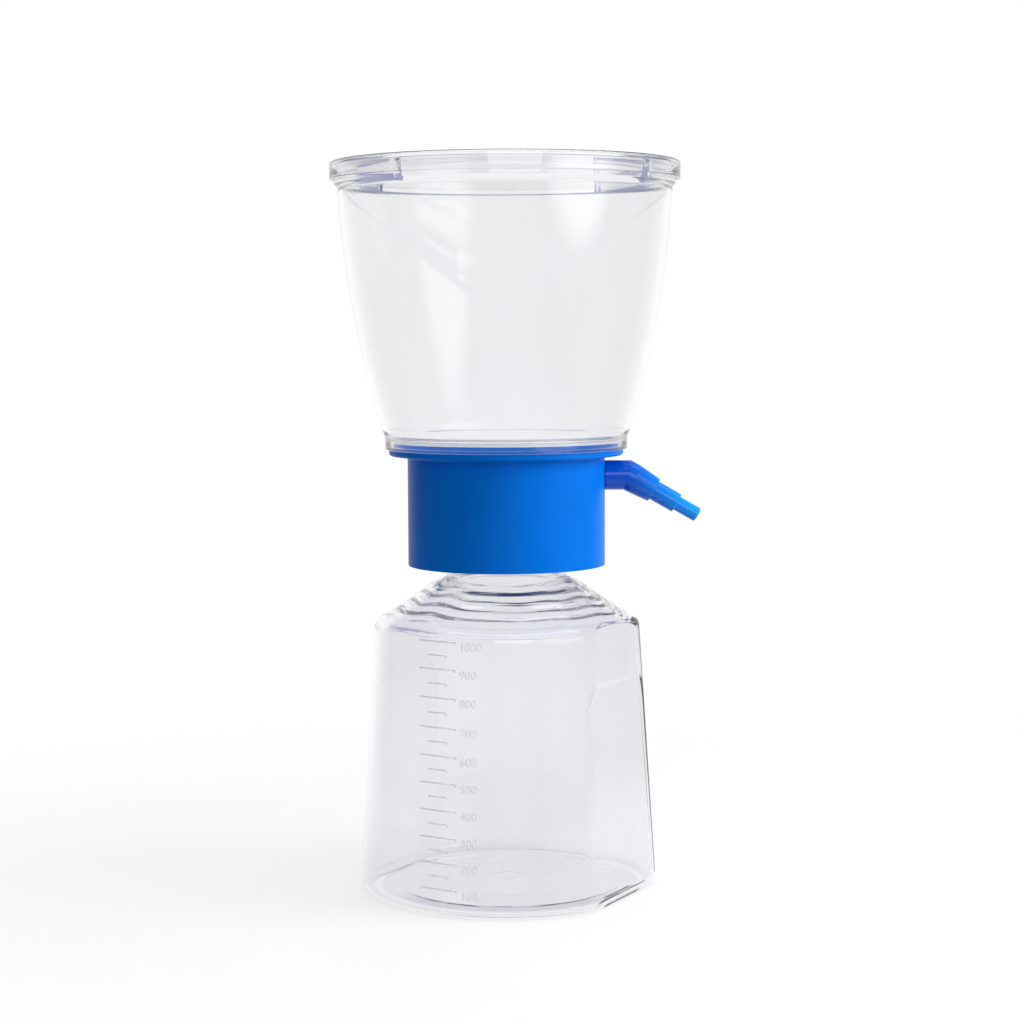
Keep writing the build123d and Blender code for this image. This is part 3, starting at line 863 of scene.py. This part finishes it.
def soften(softbox):
    """Fade a softbox from its middle to its rim, as a smooth ellipse."""
    data = softbox.data
    data.use_nodes = True
    nodes, links = data.node_tree.nodes, data.node_tree.links
    place = nodes.new("ShaderNodeNewGeometry")
    centred = nodes.new("ShaderNodeVectorMath")
    centred.operation = "SUBTRACT"
    centred.inputs[1].default_value = (0.5, 0.5, 0)
    away = nodes.new("ShaderNodeVectorMath")
    away.operation = "LENGTH"
    links.new(place.outputs["Parametric"], centred.inputs[0])
    links.new(centred.outputs["Vector"], away.inputs[0])
    fade = ranged(nodes, links, away.outputs["Value"], start=0.5, end=0.3, soft=True)
    links.new(fade, nodes["Emission"].inputs["Strength"])


class FILTRATION_OT_studio(Operator):
    """Make the floor, the white surround, the softboxes and the camera"""
    bl_idname = "filtration.studio"
    bl_label = "Make Studio"

    def execute(self, context):
        scene = context.scene
        light = scene.filtration_light
        scene.view_settings.view_transform = "Standard"
        # rays have to last through every clear wall, or the walls' edges turn black
        scene.cycles.max_bounces = 48
        scene.cycles.transmission_bounces = 48
        scene.cycles.glossy_bounces = 24
        self.floor()
        self.surround(scene, light.surround)
        self.softboxes(light)
        self.camera(scene)
        return {"FINISHED"}

    def softboxes(self, light):
        """A window at each side, which the plastic mirrors, and three soft panels."""
        soften(lamp("right_window", (0.68, 0.44), light.window,
                    spot=(0.475, -0.40, 0.35), target=(0, 0, 0.30)))
        lamp("left_window", (0.5, 0.27), light.fill, spot=(-0.95, 0.22, 0.26), target=(0, 0, 0.26))
        wash = lamp("side_wash", (0.9, 0.9), light.side,
                    spot=(1.06, -0.28, 0.45), target=(0, 0, 0.17))
        fill = lamp("front_fill", (0.8, 0.5), light.front,
                    spot=(0.15, -1.3, 0.5), target=(0, 0, 0.17))
        panel = lamp("top_panel", (1.2, 1.2), light.top, spot=(0.1, 0.1, 1.3), target=(0, 0, 0.1))
        wash.visible_glossy = False
        for soft in (wash, fill, panel):
            soft.visible_transmission = False

    def floor(self):
        """Pale disc that keeps the shadow and fades into the white surround past the object."""
        radius, rings, columns = 0.5 / MM, 13, 72
        radii = radius * np.linspace(0, 1, rings + 1)[1:]
        profile = np.stack([radii, np.zeros_like(radii)], axis=-1)
        points = round_points(profile, even_turn(columns))
        verts = np.vstack([[[0, 0, 0]], points.reshape(-1, 3)]) * MM
        j = np.arange(columns)
        fans = np.stack([np.zeros_like(j), j + 1, (j + 1) % columns + 1], axis=-1)
        quads = grid_quads(rings, columns, flipped=True) + 1
        floor = filled("studio_floor", verts, quads, fans)
        floor.data.materials.append(self.floor_material())

    def floor_material(self):
        """Matte white that also glows, brighter for rays that see it as the background."""
        material, shader, nodes, links = blank_material("floor_white")
        speckle = noise_on_object(nodes, links, scale=8.0)
        two_tones(nodes, links, shader, speckle, (0.29, 0.29, 0.292), (0.31, 0.31, 0.312))
        rays = nodes.new("ShaderNodeLightPath").outputs
        seen = rays["Is Camera Ray"]
        for ray in ("Is Transmission Ray", "Is Glossy Ray"):
            seen = worked_out(nodes, links, "MAXIMUM", seen, rays[ray])
        glow = worked_out(nodes, links, "MULTIPLY_ADD", seen, 0.37, 0.32)
        links.new(glow, shader.inputs["Emission Strength"])
        shader.inputs["Emission Color"].default_value = (1, 1, 1, 1)
        shader.inputs["Roughness"].default_value = 0.9
        shader.inputs["Specular IOR Level"].default_value = 0.1
        coords = nodes.new("ShaderNodeTexCoord")
        distance = nodes.new("ShaderNodeVectorMath")
        distance.operation = "LENGTH"
        links.new(coords.outputs["Object"], distance.inputs[0])
        fade = ranged(nodes, links, distance.outputs["Value"], start=0.13, end=0.46, soft=True)
        clear = nodes.new("ShaderNodeBsdfTransparent")
        blend = nodes.new("ShaderNodeMixShader")
        links.new(fade, blend.inputs["Fac"])
        links.new(shader.outputs["BSDF"], blend.inputs[1])
        links.new(clear.outputs["BSDF"], blend.inputs[2])
        links.new(blend.outputs["Shader"], nodes["Material Output"].inputs["Surface"])
        return material

    def surround(self, scene, strength):
        """World light by kind of ray and direction.

        Camera rays and rays that only pass through the plastic see white. Reflections see a dim
        room in front (-Y), white behind and a blue-grey ceiling. Matte surfaces get the soft
        room light, and more of it where it comes to them through a clear wall.
        """
        world = bpy.data.worlds.new("studio_surround")
        world.use_nodes = True
        scene.world = world
        nodes, links = world.node_tree.nodes, world.node_tree.links
        coords = nodes.new("ShaderNodeTexCoord")
        way = nodes.new("ShaderNodeSeparateXYZ")
        links.new(coords.outputs["Generated"], way.inputs["Vector"])
        rays = nodes.new("ShaderNodeLightPath").outputs

        def plain(*colour):
            tone = nodes.new("ShaderNodeRGB").outputs[0]
            tone.default_value = (*colour, 1)
            return tone

        def choose(share, otherwise, then):
            mix = nodes.new("ShaderNodeMix")
            mix.data_type = "RGBA"
            for socket, source in (("Factor", share), ("A", otherwise), ("B", then)):
                links.new(source, mix.inputs[socket])
            return mix.outputs["Result"]

        def ramp(source, *stops):
            shade = nodes.new("ShaderNodeValToRGB")
            elements = shade.color_ramp.elements
            while len(elements) < len(stops):
                elements.new(0.5)
            for element, (position, colour) in zip(elements, stops):
                element.position = position
                element.color = (*colour, 1)
            links.new(source, shade.inputs["Fac"])
            return shade.outputs["Color"]

        def once(depth):
            """1 where the ray has bounced so at least once, else 0."""
            return worked_out(nodes, links, "MINIMUM", rays[depth], 1)

        white, through_wall = plain(1, 1, 1), plain(1.5, 1.5, 1.53)
        ambient = plain(strength, strength, strength * 1.02)
        room = ramp(ranged(nodes, links, way.outputs["Y"], start=-1, end=1),
                    (0.15, (0.29, 0.29, 0.31)), (0.50, (0.41, 0.41, 0.43)),
                    (0.74, (0.52, 0.52, 0.54)), (0.90, (1.0, 1.0, 1.0)))
        raised = ranged(nodes, links, way.outputs["Z"], start=0.34, end=0.47, soft=True)
        mirrored = choose(raised, room, plain(0.33, 0.34, 0.55))
        through = choose(once("Glossy Depth"), white, mirrored)
        through = choose(once("Diffuse Depth"), through, through_wall)
        tone = choose(rays["Is Glossy Ray"], ambient, mirrored)
        tone = choose(rays["Is Transmission Ray"], tone, through)
        tone = choose(rays["Is Camera Ray"], tone, white)
        links.new(tone, nodes["Background"].inputs["Color"])

    def camera(self, scene):
        """80 mm lens, 0.92 m in front of the axis, 0.23 m up, looking 4.7 degrees down."""
        spot, look_down, roll = (0.00225, -0.9225, 0.2308), np.radians(4.72), np.radians(-0.28)
        data = bpy.data.cameras.new("studio_camera")
        data.lens = 79.63
        data.sensor_width = 36.0
        camera = bpy.data.objects.new("studio_camera", data)
        scene.collection.objects.link(camera)
        facing = Matrix.Rotation(np.pi / 2 - look_down, 4, "X") @ Matrix.Rotation(roll, 4, "Z")
        camera.matrix_world = Matrix.Translation(spot) @ facing
        scene.camera = camera


class FILTRATION_PT_panel(Panel):
    """Sizes, colours and build buttons of the vacuum filtration unit"""
    bl_idname = "FILTRATION_PT_panel"
    bl_label = "Vacuum Filtration Unit"
    bl_space_type = "VIEW_3D"
    bl_region_type = "UI"
    bl_category = "Filtration"

    def draw(self, context):
        scene = context.scene
        titles = {
            "Bottle": scene.filtration_bottle, "Clear Plastic": scene.filtration_clear,
            "Blue Plastic": scene.filtration_blue, "Studio": scene.filtration_light,
        }
        for title, group in titles.items():
            box = self.layout.box()
            box.label(text=title)
            for name in group.__annotations__:
                box.prop(group, name)
        for operator in OPERATORS:
            self.layout.operator(operator.bl_idname)


GROUPS = {
    "filtration_bottle": BottleSizes,
    "filtration_clear": ClearPlastic,
    "filtration_blue": BluePlastic,
    "filtration_light": StudioLight,
}
OPERATORS = (
    FILTRATION_OT_bottle,
    FILTRATION_OT_scale,
    FILTRATION_OT_funnel,
    FILTRATION_OT_lid,
    FILTRATION_OT_collar,
    FILTRATION_OT_connector,
    FILTRATION_OT_filter,
    FILTRATION_OT_studio,
)


def register():
    for name, group in GROUPS.items():
        bpy.utils.register_class(group)
        setattr(bpy.types.Scene, name, PointerProperty(type=group))
    for operator in OPERATORS:
        bpy.utils.register_class(operator)
    bpy.utils.register_class(FILTRATION_PT_panel)


def unregister():
    bpy.utils.unregister_class(FILTRATION_PT_panel)
    for operator in reversed(OPERATORS):
        bpy.utils.unregister_class(operator)
    for name, group in GROUPS.items():
        delattr(bpy.types.Scene, name)
        bpy.utils.unregister_class(group)


def main():
    """Build every piece on the frame."""
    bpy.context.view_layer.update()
    register()
    bpy.ops.filtration.bottle()
    bpy.ops.filtration.scale()
    bpy.ops.filtration.funnel()
    bpy.ops.filtration.lid()
    bpy.ops.filtration.collar()
    bpy.ops.filtration.connector()
    bpy.ops.filtration.filter()
    bpy.ops.filtration.studio()


if __name__ == "__main__":
    main()
